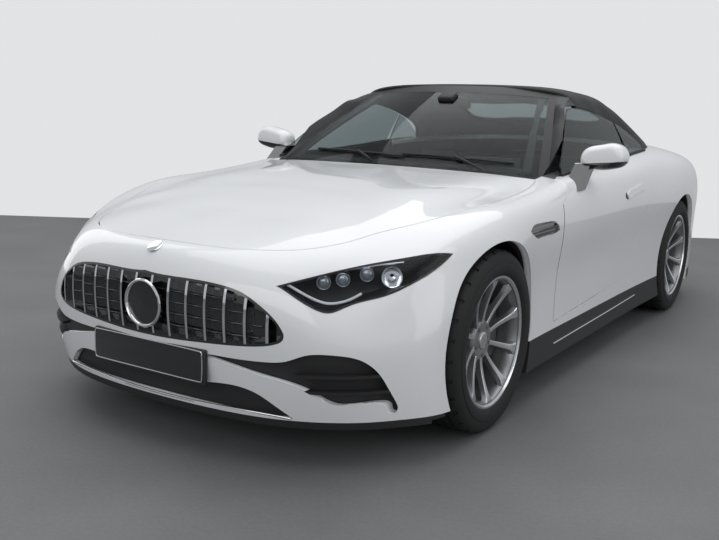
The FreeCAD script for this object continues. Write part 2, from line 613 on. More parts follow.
# The door's outline in the side view; its front edge is an arc about the hinge line.
DOOR_SHARES = [
    (0.3124, 0.2232), (0.3486, 0.2306), (0.4045, 0.2395), (0.467, 0.2491), (0.5143, 0.2572),
    (0.5441, 0.2676), (0.5632, 0.2868), (0.5739, 0.3252),
    (0.5764, 0.3695), (0.5849, 0.4435), (0.6032, 0.5174), (0.6121, 0.5913), (0.6142, 0.6652),
    (0.6142, 0.813),
]
DOOR_FRONT_SHARES = [
    (0.6142, 0.813), (0.3804, 0.813),
]
DOOR_SHOULDER_SHARES = [
    (0.3804, 0.813), (0.3724, 0.7021), (0.3592, 0.6615), (0.3401, 0.6208), (0.3124, 0.5913),
]
door_face = outline(profile(DOOR_SHARES), profile(DOOR_FRONT_SHARES), profile(DOOR_SHOULDER_SHARES))
door_inside = mm.cabin_half_width
hinge = at(mm.door_pivot_x, mm.door_pivot_from_nose, 0)


def hinge_drum(radius, z_low, z_high):
    return Part.makeCylinder(radius, z_high - z_low, hinge + UP * z_low, UP)


door_cut = across(door_face, door_inside, wide_x)
door_cut = door_cut.cut(hinge_drum(mm.door_swing_radius, 0, high_z))
door_zone = across(resized(door_face, mm.shut_gap), door_inside - mm.shut_gap, wide_x)
door_zone = door_zone.cut(hinge_drum(mm.door_swing_radius - mm.shut_gap, 0, high_z))

# Wheel arches.


def drum(radius, axle, x_low, x_high):
    return Part.makeCylinder(radius, x_high - x_low, at(x_low, axle, wheel_height), LEFT)


arches = drum(mm.arch_radius, front_axle, mm.arch_edge - mm.overrun, wide_x)
arches = arches.fuse(drum(mm.arch_radius, rear_axle, mm.arch_edge - mm.overrun, wide_x))
tubs = drum(mm.tub_radius, front_axle, mm.front_tub, mm.arch_edge)
tubs = tubs.fuse(drum(mm.tub_radius, rear_axle, mm.rear_tub, mm.arch_edge))
arch_skin = arches.fuse(tubs)
tub_shell = drum(mm.tub_radius + mm.liner, front_axle, mm.front_tub - mm.liner, mm.arch_edge)
tub_shell = tub_shell.fuse(drum(mm.tub_radius + mm.liner, rear_axle, mm.rear_tub - mm.liner, mm.arch_edge))

# Tail: the bumper in the side view, the lamps from behind, the boot lid and deck in plan.
TAIL_BUMPER_SHARES = [
    (0.8417, 0.0739), (0.8417, 0.3991), (0.9139, 0.4767), (0.9458, 0.49), (1.0159, 0.49),
    (1.0159, 0.0739),
]
tail_bumper_zone = across(Part.Face(Part.makePolygon(profile(TAIL_BUMPER_SHARES + TAIL_BUMPER_SHARES[:1]))),
                          -mm.overrun, wide_x)
TAIL_LAMP_TOP_SHARES = [
    (0.4303, 0.6001), (0.5849, 0.6105), (0.7728, 0.6164), (0.9399, 0.6135),
]
TAIL_LAMP_LOW_SHARES = [
    (0.9399, 0.5728), (0.7937, 0.5558), (0.6266, 0.5484), (0.4303, 0.5506),
]
tail_lamp_face = outline(front(TAIL_LAMP_TOP_SHARES), front([TAIL_LAMP_TOP_SHARES[-1], TAIL_LAMP_LOW_SHARES[0]]),
                         front(TAIL_LAMP_LOW_SHARES), front([TAIL_LAMP_LOW_SHARES[-1], TAIL_LAMP_TOP_SHARES[0]]))
LAMP_WRAP_SHARE = 0.885
tail_lamp_zone = along(tail_lamp_face, LAMP_WRAP_SHARE * mm.length, mm.length + mm.overrun)
BOOT_EDGE_SHARES = [
    (0, 0.8023), (0.3133, 0.803), (0.5431, 0.8055),
]
BOOT_SIDE_SHARES = [
    (0.5431, 0.8055), (0.6266, 0.8204), (0.6527, 0.8608), (0.6319, 0.9097), (0.5431, 0.9458),
    (0.4491, 0.966), (0.4178, 0.9862), (0.4178, 1.0202),
]
BOOT_END_SHARES = [
    (0.4178, 1.0202), (0, 1.0202),
]
boot_face = past_middle(plan(BOOT_EDGE_SHARES), plan(BOOT_SIDE_SHARES), plan(BOOT_END_SHARES))
BOOT_LOW_SHARE = 0.49
boot_zone = tower(resized(boot_face, mm.shut_gap / 2), BOOT_LOW_SHARE * mm.height, high_z)
boot_cut = tower(resized(boot_face, -mm.shut_gap / 2), BOOT_LOW_SHARE * mm.height + mm.shut_gap, high_z)
DECK_FRONT_SHARES = [
    (0, 0.7566), (0.4178, 0.7439), (0.6684, 0.712), (0.752, 0.6695), (0.7676, 0.6291),
]
DECK_SIDE_SHARES = [
    (0.7676, 0.6291), (0.8355, 0.6291),
]
DECK_EDGE_SHARES = [
    (0.8355, 0.6291), (0.8512, 0.6908), (0.8355, 0.7439), (0.7781, 0.7864), (0.6475, 0.8055),
    (0.4178, 0.814), (0, 0.814),
]
deck_face = past_middle(plan(DECK_FRONT_SHARES), plan(DECK_SIDE_SHARES), plan(DECK_EDGE_SHARES))
DECK_FLOOR_SHARE = 0.6
deck_zone = tower(deck_face, DECK_FLOOR_SHARE * mm.height, high_z)

INTAKE_FIN_SHARES = (0.208, 0.25)
DIFFUSER_TOP_SHARES = [
    (0, 0.2956), (0.3446, 0.2956), (0.4491, 0.2587), (0.6475, 0.255), (0.7311, 0.1922),
    (0.9191, 0.1848),
]
DIFFUSER_LOW_SHARES = [
    (0.9191, 0.1848), (1.0548, 0.0739), (0, 0.0739),
]

VENT_SHARES = [
    (0.2487, 0.5565), (0.255, 0.5676), (0.2678, 0.5713), (0.3012, 0.5669), (0.3143, 0.5543),
    (0.3194, 0.5381), (0.3092, 0.5262), (0.2869, 0.5248),
    (0.265, 0.5262), (0.254, 0.5418),
]
vent_zone = across(ring(profile(VENT_SHARES)), mm.cabin_half_width, wide_x)
HANDLE_SHARES = [
    (0.5224, 0.6001), (0.5267, 0.5824), (0.5484, 0.5913), (0.5739, 0.6031), (0.5889, 0.612),
    (0.5824, 0.6223), (0.5526, 0.6164), (0.5292, 0.6105),
]
handle_zone = across(ring(profile(HANDLE_SHARES)), mm.cabin_half_width, wide_x)

# Painted panels.
sill_line = mm.sill_line
below_sill = block(-mm.overrun, wide_x, front_axle, rear_axle, low_z, sill_line)
nose_zone = block(-mm.overrun, wide_x, -mm.overrun, mm.firewall_from_nose, low_z, high_z).cut(wing_zone)
nose_zone = nose_zone.cut(block(-mm.overrun, wide_x, front_axle, mm.length, low_z, high_z))
bumper_floor = block(-mm.overrun, wide_x, -mm.overrun, front_axle, low_z, mm.bumper_low)
openings = through_nose(grille_face).fuse([through_nose(intake_face), through_nose(lower_face)])
nose_skin = panels.common(nose_zone).cut(bumper_floor).cut(bonnet_zone).cut(lamp_zone).cut(openings)
add("front_bumper", joined(nose_skin.cut(arch_skin)))
wing = panels.common(wing_zone).cut(bonnet_zone).cut(lamp_zone).cut(arch_skin).cut(door_zone).cut(below_sill)
wing = wing.cut(vent_zone)
add("front_wings", pair(wing.cut(block(0, wide_x, front_axle, mm.length, low_z, sill_line))))
add("bonnet", joined(panels.common(bonnet_cut)))
roofless = block(-mm.overrun, mm.cabin_half_width, -mm.overrun, mm.deck_from_nose, low_z, high_z)
side = panels.cut(roofless).cut(block(-mm.overrun, wide_x, -mm.overrun, front_axle, low_z, high_z))
for tool in (wing_zone, arch_skin, door_zone, below_sill, tail_bumper_zone, deck_zone, boot_zone, tail_lamp_zone):
    side = side.cut(tool)
add("rear_wings", pair(largest(side)))
deck = panels.common(deck_zone).cut(boot_zone).cut(door_zone)
add("rear_deck", joined(largest(deck)))
add("boot_lid", joined(panels.common(boot_cut)))
tail = panels.common(tail_bumper_zone).cut(arch_skin)
diffuser_zone = along(past_middle(front(DIFFUSER_TOP_SHARES), front(DIFFUSER_LOW_SHARES)),
                      rear_axle + mm.arch_radius, mm.length + mm.overrun)
add("rear_bumper", joined(largest(tail.cut(diffuser_zone))))
add("diffuser", joined(largest(tail.common(diffuser_zone))))
add("tail_lamps", pair(panels.common(tail_lamp_zone)))

# Doors, each as thick as the whole door, with a slot for the window.
WINDOW_SHARES = [
    (0.3858, 0.6652), (0.3858, 0.711), (0.4166, 0.7894), (0.4463, 0.8559), (0.4731, 0.9047),
    (0.5044, 0.9135), (0.5384, 0.9061),
    (0.5855, 0.878), (0.6089, 0.8618),
]
QUARTER_SHARES = [
    (0.6125, 0.8596), (0.6291, 0.8448), (0.6485, 0.8234), (0.6695, 0.7923), (0.6833, 0.7687),
    (0.6833, 0.7095), (0.6196, 0.7095),
]
GLASS_SHARES = [
    (0.8418, 0.6356), (0.8334, 0.6874), (0.7958, 0.7613), (0.7436, 0.8352), (0.6841, 0.9054),
    (0.6371, 0.9534),
]


def window_band(lift, depth):
    """The curved sheet in which the side windows lie, between two depths behind its outer face."""
    face = run([spot(x, 0, z) for x, z in GLASS_SHARES]).extrude(REARWARD * mm.length)
    band = face.makeOffsetShape(-lift - depth, mm.seat_gap / mm.overrun, fill=True)
    if not lift:
        return band
    return band.cut(face.makeOffsetShape(-lift, mm.seat_gap / mm.overrun, fill=True))


glass_band = window_band(0, mm.window_glass)
window_face = outline(profile(WINDOW_SHARES[0:2]), profile(WINDOW_SHARES[1:5]), profile(WINDOW_SHARES[4:]),
                      profile([WINDOW_SHARES[-1], (WINDOW_SHARES[-1][0], WINDOW_SHARES[0][1])]))
door_glass = glass_band.common(across(window_face, 0, wide_x))
door = outer.common(door_cut)
door = door.cut(tub_shell).fuse(hull(-mm.handle_proud).cut(outer).common(handle_zone))
door = largest(door.cut(door_glass.makeOffsetShape(mm.seat_gap, mm.seat_gap / mm.overrun)))
for side_name, turn in (("left", lambda shape: shape), ("right", mirror)):
    add("door_" + side_name, turn(door))
    add("door_glass_" + side_name, turn(door_glass))
quarter_glass = glass_band.common(across(Part.Face(Part.makePolygon(profile(QUARTER_SHARES + QUARTER_SHARES[:1]))), 0, wide_x))
add("quarter_glass", pair(largest(quarter_glass.cut(outer))))


# Greenhouse: the windscreen in its frame, and the soft top.
SCREEN_SHARES = [
    [(0.8063, 0.366, 0.6689), (0.4386, 0.3528, 0.6704), (0, 0.3486, 0.6711)],
    [(0.6977, 0.4272, 0.8093), (0.376, 0.4113, 0.8167), (0, 0.407, 0.8189)],
    [(0.5974, 0.4835, 0.9209), (0.3133, 0.4708, 0.9327), (0, 0.4676, 0.9372)],
    [(0.5473, 0.5126, 0.9727), (0.282, 0.502, 0.9852), (0, 0.499, 0.9889)],
]
screen_net = [[spot(*place) for place in row] for row in SCREEN_SHARES]
screen_surface, screen_u, screen_v = woven(screen_net, False)
SCREEN_RIM_SHARES = (0.0, 0.895, 0.062)


def screen_sheet(lift, depth, rim_scale):
    """The left half of a sheet on the windscreen's surface, between two depths."""
    u_low = screen_u[-1] * SCREEN_RIM_SHARES[0]
    u_high = screen_u[-1] * (1 - (1 - SCREEN_RIM_SHARES[1]) * rim_scale)
    v_low = screen_v[-1] * SCREEN_RIM_SHARES[2] * rim_scale
    face = screen_surface.toShape(u_low, u_high, v_low, screen_v[-1])
    sheet_solid = face.makeOffsetShape(-lift - depth, mm.seat_gap / mm.overrun, fill=True)
    if lift:
        sheet_solid = sheet_solid.cut(face.makeOffsetShape(-lift, mm.seat_gap / mm.overrun, fill=True))
    return sheet_solid.common(block(0, wide_x, 0, mm.length, low_z, high_z))


screen_frame = screen_sheet(0, mm.screen_frame, 0)
screen_hole = screen_sheet(0, mm.screen_frame + mm.overrun, 1)
screen_glass = screen_sheet(0, mm.screen_glass, 1)
whole = joined(outer)
scuttle_top = hull(mm.cowl_drop)
wing_side = outer.common(block(mm.cabin_half_width, wide_x, 0, mm.length, low_z, high_z))
add("windscreen", joined(screen_glass.cut(scuttle_top)))

# The pillars beside the windscreen. Each row is one section, from its corner on the windscreen
# over the outer face to the door glass, and back along the inside.
PILLAR_SHARES = [
    [(0.8251, 0.3613, 0.6548), (0.8355, 0.3698, 0.6504), (0.8418, 0.3843, 0.6415),
     (0.8146, 0.3843, 0.6415), (0.8042, 0.3709, 0.6371)],
    [(0.7916, 0.3741, 0.6874), (0.8146, 0.3783, 0.6874), (0.8334, 0.3841, 0.6874),
     (0.8073, 0.3845, 0.6837), (0.7708, 0.3779, 0.6741)],
    [(0.7739, 0.3843, 0.711), (0.8021, 0.3843, 0.7162), (0.8188, 0.3841, 0.7169),
     (0.7937, 0.3851, 0.711), (0.754, 0.3872, 0.697)],
    [(0.752, 0.3966, 0.7391), (0.7833, 0.3953, 0.7458), (0.8052, 0.3949, 0.7472),
     (0.7802, 0.3962, 0.7413), (0.7311, 0.3998, 0.7243)],
    [(0.6977, 0.4272, 0.8093), (0.7332, 0.4259, 0.8189), (0.7561, 0.4253, 0.8219),
     (0.7311, 0.4268, 0.8152), (0.6768, 0.4304, 0.7931)],
    [(0.6475, 0.4553, 0.8647), (0.6841, 0.454, 0.8758), (0.7081, 0.454, 0.8788),
     (0.683, 0.4553, 0.8721), (0.6266, 0.4582, 0.8477)],
    [(0.6183, 0.4718, 0.898), (0.6527, 0.4704, 0.912), (0.6768, 0.4706, 0.915),
     (0.6517, 0.4721, 0.9098), (0.5963, 0.4748, 0.8803)],
    [(0.5974, 0.4835, 0.9209), (0.6454, 0.482, 0.9276), (0.6726, 0.482, 0.9209),
     (0.6475, 0.4833, 0.9165), (0.5765, 0.4865, 0.9032)],
    [(0.5473, 0.5126, 0.9727), (0.6266, 0.5109, 0.9542), (0.6642, 0.5109, 0.9239),
     (0.6371, 0.5109, 0.9202), (0.5285, 0.5152, 0.9549)],
]


def skinned_bar(rows):
    """A solid through sections with the same number of corners, smooth along its length."""
    rows = [[spot(*place) for place in row] for row in rows]
    count = len(rows[0])
    lines = [run([row[corner] for row in rows]) for corner in range(count)]
    faces = [Part.makeRuledSurface(lines[corner], lines[(corner + 1) % count]) for corner in range(count)]
    for row in (rows[0], rows[-1]):
        faces += [Part.Face(Part.makePolygon([row[0], row[corner], row[corner + 1], row[0]]))
                  for corner in range(1, count - 1)]
    shell = Part.makeShell(faces)
    shell.sewShape()
    solid = Part.makeSolid(shell)
    if solid.Volume < 0:
        solid.reverse()
    return solid


pillar = skinned_bar(PILLAR_SHARES)
for tool in (screen_hole, scuttle_top, wing_side, door_zone):
    screen_frame = screen_frame.cut(tool)
    pillar = pillar.cut(tool)
screen_frame = largest(screen_frame.fuse(pillar))
add("windscreen_frame", joined(screen_frame))

# The soft top: rows run from the header to the back, from the rail to the middle.
ROOF_SHARES = [
    [(0.6684, 0.5069, 0.9187), (0.6329, 0.509, 0.952), (0.5222, 0.5069, 0.9771),
     (0.2663, 0.5037, 0.9904), (0, 0.502, 0.9933)],
    [(0.6768, 0.5441, 0.9106), (0.6392, 0.5441, 0.952), (0.5222, 0.543, 0.9815),
     (0.2663, 0.542, 0.9956), (0, 0.5416, 0.9985)],
    [(0.6841, 0.5866, 0.884), (0.6454, 0.5866, 0.9387), (0.5222, 0.5866, 0.9778),
     (0.2695, 0.5866, 0.9963), (0, 0.5866, 1)],
    [(0.6977, 0.6291, 0.847), (0.6601, 0.6302, 0.9143), (0.5326, 0.6312, 0.9638),
     (0.2736, 0.6323, 0.986), (0, 0.6329, 0.9904)],
    [(0.729, 0.661, 0.8086), (0.6851, 0.6652, 0.8736), (0.5535, 0.6684, 0.9327),
     (0.282, 0.6706, 0.9593), (0, 0.6716, 0.9653)],
    [(0.7833, 0.6833, 0.765), (0.7227, 0.6929, 0.8278), (0.5765, 0.7014, 0.8877),
     (0.2924, 0.7056, 0.9165), (0, 0.7067, 0.9231)],
    [(0.8146, 0.7035, 0.728), (0.752, 0.7205, 0.7834), (0.5953, 0.7354, 0.8315),
     (0.3029, 0.7418, 0.8559), (0, 0.7439, 0.8618)],
    [(0.7958, 0.7269, 0.7206), (0.7436, 0.7481, 0.7428), (0.6005, 0.7673, 0.7687),
     (0.305, 0.7779, 0.7834), (0, 0.7811, 0.7879)],
    [(0.7854, 0.7333, 0.6948), (0.7363, 0.7566, 0.7095), (0.5953, 0.7779, 0.7317),
     (0.3029, 0.7896, 0.7428), (0, 0.7928, 0.7465)],
]
roof_net = [[spot(*place) for place in row] for row in ROOF_SHARES]
roof_surface = woven(roof_net, False)[0]


def roof_sheet(lift, depth):
    face = Part.Face(roof_surface)
    sheet_solid = face.makeOffsetShape(-lift - depth, mm.seat_gap / mm.overrun, fill=True)
    if lift:
        sheet_solid = sheet_solid.cut(face.makeOffsetShape(-lift, mm.seat_gap / mm.overrun, fill=True))
    return sheet_solid


roof = roof_sheet(0, mm.soft_top)
REAR_WINDOW_SHARES = [
    (0, 0.6886), (0.2611, 0.6882), (0.4178, 0.6861), (0.4648, 0.6933), (0.4679, 0.7078),
    (0.4491, 0.7311), (0.3969, 0.7386), (0.2089, 0.7422),
    (0, 0.7428),
]
rear_window_zone = tower(past_middle(plan(REAR_WINDOW_SHARES)), 0, high_z)
rear_glass = roof_sheet(mm.rear_glass_inset, mm.window_glass).common(rear_window_zone)
roof = roof.cut(rear_window_zone).cut(outer).cut(screen_frame)
add("soft_top", joined(largest(roof)))
add("rear_window", joined(largest(rear_glass)))

# Grille, intakes, splitter and lamps.
grille_zone = through_nose(grille_face)
grille_run = smaller(front(GRILLE_TOP_SHARES + GRILLE_LOW_SHARES[1:]), mm.grille_rim)
split = len(GRILLE_TOP_SHARES)
grille_hole = through_nose(past_middle(grille_run[:split], grille_run[split - 1:]))
grille_frame = outer.common(grille_zone).cut(hull(mm.grille_depth)).cut(grille_hole)
slats = []
for count in range(int(mm.slats_each_side)):
    x = (count + 0.5) * mm.slat_pitch
    slats.append(block(x - mm.slat / 2, x + mm.slat / 2, -mm.overrun, nose_reach, 0, high_z))
bars = outer.cut(hull(mm.slat_depth)).common(Part.makeCompound(slats)).common(grille_hole)
add("grille_slats", Part.makeCompound(pair(bars).Solids))


roundel = Part.makeCylinder(mm.roundel_radius, nose_reach, at(0, -mm.overrun, mm.roundel_height), REARWARD)
boss = Part.makeCylinder(mm.roundel_radius, mm.roundel_depth, at(0, mm.roundel_from_nose, mm.roundel_height), REARWARD)
boss = boss.cut(Part.makeCylinder(mm.roundel_radius - mm.roundel_ring, mm.roundel_dish,
                                  at(0, mm.roundel_from_nose, mm.roundel_height), REARWARD))
parts["grille_slats"].Shape = Part.makeCompound(pair(bars.cut(roundel)).Solids)
add("grille_roundel", boss)
black_back = hull(mm.slat_depth).cut(hull(mm.grille_depth))
add("grille_frame", joined(grille_frame.fuse(black_back.common(grille_hole))))
intake_band = hull(mm.intake_inset).cut(hull(mm.intake_depth))
corner = intake_band.common(through_nose(intake_face))
fins = []
for share in INTAKE_FIN_SHARES:
    fins.append(block(mm.intake_fin_from, wide_x, -mm.overrun, nose_reach, share * mm.height,
                      share * mm.height + mm.intake_fin))
fins = outer.cut(hull(mm.intake_inset)).common(through_nose(intake_face)).common(Part.makeCompound(fins))
lower_band = joined(intake_band.common(through_nose(lower_face)))
add("front_intakes", Part.makeCompound(pair(corner.fuse(fins)).Solids + lower_band.Solids))
lip = outer.common(block(-mm.overrun, wide_x, -mm.overrun, mm.splitter_from_nose, low_z, mm.bumper_low))
add("front_splitter", joined(largest(lip.cut(arch_skin))))
wheelhouse = drum(mm.tub_radius + mm.liner + mm.seat_gap, front_axle, mm.front_tub - mm.liner, mm.arch_edge)
wheelhouse_wall = drum(mm.tub_radius + mm.liner + mm.lamp_wall, front_axle, mm.front_tub - mm.liner, mm.arch_edge)
lamp_body = hull(mm.lamp_lens).cut(hull(mm.lamp_depth)).common(lamp_cut).cut(wheelhouse)
lamp_floor = hull(mm.lamp_depth - mm.lamp_wall)
lamp_hollow = outer.cut(lamp_floor).common(lamp_inside).cut(wheelhouse_wall)
LAMP_BARREL_SHARES = [
    (0.6339, 0.0453, 0.473), (0.6789, 0.0557, 0.4789), (0.7311, 0.0701, 0.4893),
]
lamp_line = Vector(LAMP_LOOK).normalize()
barrels = []
for share in LAMP_BARREL_SHARES:
    foot = spot(*share) - lamp_line * mm.tyre_radius
    barrels.append(Part.makeCylinder(mm.lamp_barrel, mm.tyre_radius * 2, foot, lamp_line))
barrels = Part.makeCompound(barrels).common(hull(mm.lamp_barrel_inset)).cut(hull(mm.lamp_depth))
lamp_body = lamp_body.cut(lamp_hollow).fuse(barrels.common(lamp_inside).cut(wheelhouse))
add("headlamp_housings", pair(largest(lamp_body)))
lens = outer.cut(hull(mm.lamp_lens)).common(lamp_cut)
add("headlamp_lenses", pair(largest(lens)))
skirt = panels.common(block(mm.arch_depth, wide_x, front_axle, rear_axle, mm.floor_height, mm.sill_line))
add("side_skirts", pair(largest(skirt.cut(arch_skin))))

# The body shell behind the panels: floor, sills, pillars, bulkheads and wheelhouse walls.
core = inner.common(block(-mm.overrun, wide_x, mm.bay_from_nose, mm.boot_end_from_nose + mm.rear_wall, mm.floor_height, high_z))
bay = block(-mm.overrun, mm.bay_half_width, mm.bay_from_nose + mm.firewall, mm.firewall_from_nose - mm.firewall, mm.bay_floor, high_z)
under_bonnet = block(-mm.overrun, wide_x, 0, mm.firewall_from_nose - mm.firewall, mm.bay_shelf, high_z)
cabin = block(-mm.overrun, mm.cabin_half_width - mm.shut_gap, mm.firewall_from_nose, mm.rear_wall_from_nose, mm.floor_top, high_z)
cowl_gap = block(-mm.overrun, mm.cabin_half_width, mm.firewall_from_nose - mm.firewall, mm.rear_wall_from_nose, mm.cowl_top, high_z)
boot = block(-mm.overrun, mm.boot_half_width, mm.rear_wall_from_nose + mm.rear_wall, mm.boot_end_from_nose, mm.boot_floor, high_z)
shelf = block(-mm.overrun, mm.boot_half_width, mm.rear_wall_from_nose, mm.boot_end_from_nose + mm.overrun * 2, mm.shelf_top, high_z)
lower_hull = hull(mm.panel + mm.lid_room)
room = bonnet_zone.cut(lower_hull).fuse(boot_zone.cut(lower_hull))
lamp_room = lamp_zone.cut(hull(mm.lamp_depth))
intake_room = through_nose(intake_face).cut(hull(mm.intake_depth))
tip_room = block(mm.tip_inside - mm.seat_gap, mm.tip_outside + mm.seat_gap, mm.boot_end_from_nose, mm.length,
                 mm.tip_low - mm.seat_gap, mm.tip_high + mm.seat_gap)
for tool in (bay, under_bonnet, cabin, cowl_gap, boot, shelf, tub_shell, arches, door_zone, room, lamp_room,
             intake_room, lip, tip_room):
    core = core.cut(tool)
seat_hull = hull(mm.panel + mm.seat_gap)
scuttle = seat_hull.common(block(-mm.overrun, door_inside, mm.firewall_from_nose - mm.firewall, mm.scuttle_end,
                                 mm.scuttle_low, high_z))
lid_seat = seat_hull.cut(hull(mm.panel + mm.lid_seat)).common(
    block(-mm.overrun, mm.boot_half_width + mm.lid_seat, mm.lid_seat_from_nose,
          mm.lid_seat_from_nose + mm.lid_seat_length, mm.shelf_top, high_z))
core = core.fuse([scuttle, lid_seat])
for level in (mm.hinge_low, mm.hinge_high):
    drum_pad = hinge_drum(mm.door_swing_radius - mm.seat_gap, level, level + mm.hinge_height)
    pad_block = block(mm.door_pivot_x - mm.hinge_pad, mm.door_pivot_x + mm.hinge_pad / 2, mm.door_pivot_from_nose,
                      mm.door_pivot_from_nose + mm.door_swing_radius, 0, high_z)
    core = core.fuse(drum_pad.common(pad_block).common(inner))
liners = tub_shell.cut(tubs).common(hull(mm.panel)).cut(door_zone)
liners = liners.common(block(0, wide_x, 0, mm.length, mm.floor_height, high_z))


# Running gear. A wheel is modelled about its own axle: X points out of the car and the outer
# face of the tyre is at zero.


def sketch_in(body, role, name):
    """A sketch on one of the body's own origin planes."""
    plane = [item for item in body.Origin.OriginFeatures if item.Role == role][0]
    sketch = body.newObject("Sketcher::SketchObject", name)
    sketch.AttachmentSupport = [(plane, "")]
    sketch.MapMode = "FlatFace"
    return sketch


def draw(sketch, points):
    """A closed outline of straight lines in a sketch."""
    for start, end in zip(points, points[1:] + points[:1]):
        sketch.addGeometry(Part.LineSegment(Vector(*start, 0), Vector(*end, 0)), False)


def turned(name, points):
    """A body revolved about the axle, from an outline of places along the axle and radii."""
    body = doc.addObject("PartDesign::Body", name)
    body.Label = name
    sketch = sketch_in(body, "XY_Plane", name + "_profile")
    draw(sketch, points)
    doc.recompute()
    turn = body.newObject("PartDesign::Revolution", name + "_turned")
    turn.Profile = sketch
    turn.ReferenceAxis = (sketch, ["H_Axis"])
    turn.Angle = 360
    doc.recompute()
    return body


def pocket_round(body, points, count, label):
    """Pockets cut along the axle, repeated round it."""
    sketch = sketch_in(body, "YZ_Plane", body.Name + "_" + label)
    if len(points) == 1:
        radius, middle = points[0]
        circle = Part.Circle(Vector(middle, 0, 0), Vector(0, 0, 1), radius)
        sketch.addGeometry(circle, False)
    else:
        draw(sketch, points)
    doc.recompute()
    pocket = body.newObject("PartDesign::Pocket", body.Name + "_" + label + "_cut")
    pocket.Profile = sketch
    pocket.Type = "ThroughAll"
    pocket.Midplane = True
    doc.recompute()
    pattern = body.newObject("PartDesign::PolarPattern", body.Name + "_" + label + "_round")
    pattern.Originals = [pocket]
    pattern.Axis = (sketch, ["N_Axis"])
    pattern.Angle = 360
    pattern.Occurrences = count
    body.Tip = pattern
    doc.recompute()


lip = -mm.tyre_bulge
bed = mm.rim_bed_radius + mm.rim_wall
hub_face = lip - mm.hub_depth
hub_back = hub_face - mm.hub_thickness


def rim_outline(width):
    inner_lip = -width + mm.tyre_bulge
    return [
        (lip, mm.rim_radius), (lip - mm.rim_wall, mm.rim_radius), (lip - mm.rim_wall, bed),
        (inner_lip + mm.rim_wall, bed), (inner_lip + mm.rim_wall, mm.rim_radius),
        (inner_lip, mm.rim_radius), (inner_lip, mm.rim_bed_radius),
        (lip - mm.rim_wall - mm.spoke_depth, mm.rim_bed_radius),
        ((lip + hub_back) / 2 - mm.spoke_depth / 2, (mm.rim_bed_radius + mm.hub_radius) / 2),
        (hub_back, mm.hub_radius), (hub_back, mm.bore_radius), (hub_face, mm.bore_radius),
        (hub_face, mm.hub_radius), ((lip + hub_face) / 2 - mm.rim_wall, (mm.rim_bed_radius + mm.hub_radius) / 2),
        (lip - mm.rim_wall, mm.rim_bed_radius),
    ]


def tyre_outline(width):
    edge = lip - mm.rim_wall
    far = -width - edge
    shoulder = mm.tyre_radius - mm.tyre_shoulder
    return [
        (edge, bed), (edge, mm.rim_radius + mm.seat_gap), (lip, mm.rim_radius + mm.seat_gap),
        (0, (mm.rim_radius + shoulder) / 2), (-mm.tyre_shoulder / 2, shoulder),
        (-mm.tyre_shoulder * 2, mm.tyre_radius), (-width + mm.tyre_shoulder * 2, mm.tyre_radius),
        (-width + mm.tyre_shoulder / 2, shoulder), (-width, (mm.rim_radius + shoulder) / 2),
        (-width - lip, mm.rim_radius + mm.seat_gap), (far, mm.rim_radius + mm.seat_gap), (far, bed),
    ]


disc_outer = -mm.disc_from_face
disc_inner = disc_outer - mm.disc_thickness
DISC_OUTLINE = [
    (hub_back, mm.bore_radius), (hub_back, mm.disc_bell), (disc_outer, mm.disc_bell),
    (disc_outer, mm.disc_radius), (disc_inner, mm.disc_radius), (disc_inner, mm.disc_bell),
    (disc_outer - mm.rim_wall, mm.disc_bell - mm.rim_wall), (disc_outer - mm.rim_wall, mm.bore_radius),
]


def window_outline():
    """The gap between two spokes, as places across and up the wheel's face."""
    out = mm.rim_bed_radius - mm.spoke_root
    inn = mm.hub_radius + mm.spoke_root
    step = math.pi / mm.spokes
    points = []
    for count in range(-4, 5):
        angle = step * (1 - mm.spoke_tip / (2 * out * math.sin(step))) * count / 4
        points.append((out * math.sin(angle), out * math.cos(angle)))
    half_in = inn * math.sin(step) - mm.spoke_base / 2
    points += [(half_in, inn + half_in), (half_in / 2, inn), (-half_in / 2, inn), (-half_in, inn + half_in)]
    return points


wheel_places = {}
for end, axle, plane, width in (("front", front_axle, mm.front_wheel_plane, mm.front_tyre_width),
                                ("rear", rear_axle, mm.rear_wheel_plane, mm.rear_tyre_width)):
    for side_name, sign in (("left", 1), ("right", -1)):
        where = at(sign * plane, axle, wheel_height)
        turn = Rotation(UP, 0 if sign > 0 else 180)
        placement = FreeCAD.Placement(where, turn)
        tag = end + "_" + side_name
        rim = turned("rim_" + tag, rim_outline(width))
        pocket_round(rim, window_outline(), int(mm.spokes), "window")
        pocket_round(rim, [(mm.lug_hole_radius, mm.lug_circle / 2)], int(mm.lugs), "lug_hole")
        tyre = turned("tyre_" + tag, tyre_outline(width))
        disc = turned("brake_disc_" + tag, DISC_OUTLINE)
        for body in (rim, tyre, disc):
            body.Placement = placement
            parts[body.Label] = body
        wheel_places[tag] = placement

# Knuckles and axles, left half, in the wheel's own frame and then put in place.


def box_at(x_low, x_high, y_low, y_high, z_low, z_high):
    return Part.makeBox(x_high - x_low, y_high - y_low, z_high - z_low, Vector(x_low, y_low, z_low))


def pin_at(radius, x_low, x_high):
    return Part.makeCylinder(radius, x_high - x_low, Vector(x_low, 0, 0), LEFT)


def caliper(angle):
    """A caliper that straddles the brake disc, turned round the axle by an angle."""
    outer_face = disc_outer + mm.caliper_wall
    inner_face = disc_inner - mm.caliper_wall
    body = pin_at(mm.rim_bed_radius - mm.caliper_gap, inner_face, outer_face)
    body = body.cut(pin_at(mm.disc_radius - mm.caliper_reach, inner_face, outer_face))
    body = body.cut(pin_at(mm.disc_radius + mm.caliper_play, disc_inner - mm.caliper_play, disc_outer + mm.caliper_play))
    half = mm.caliper_length / 2
    body = body.common(box_at(inner_face, outer_face, 0, mm.rim_radius, -half, half))
    body.rotate(ORIGIN, LEFT, angle)
    return body


spindle_radius = mm.bore_radius - mm.bearing_gap
upright_outer = disc_inner - mm.caliper_wall
upright_inner = upright_outer - mm.upright


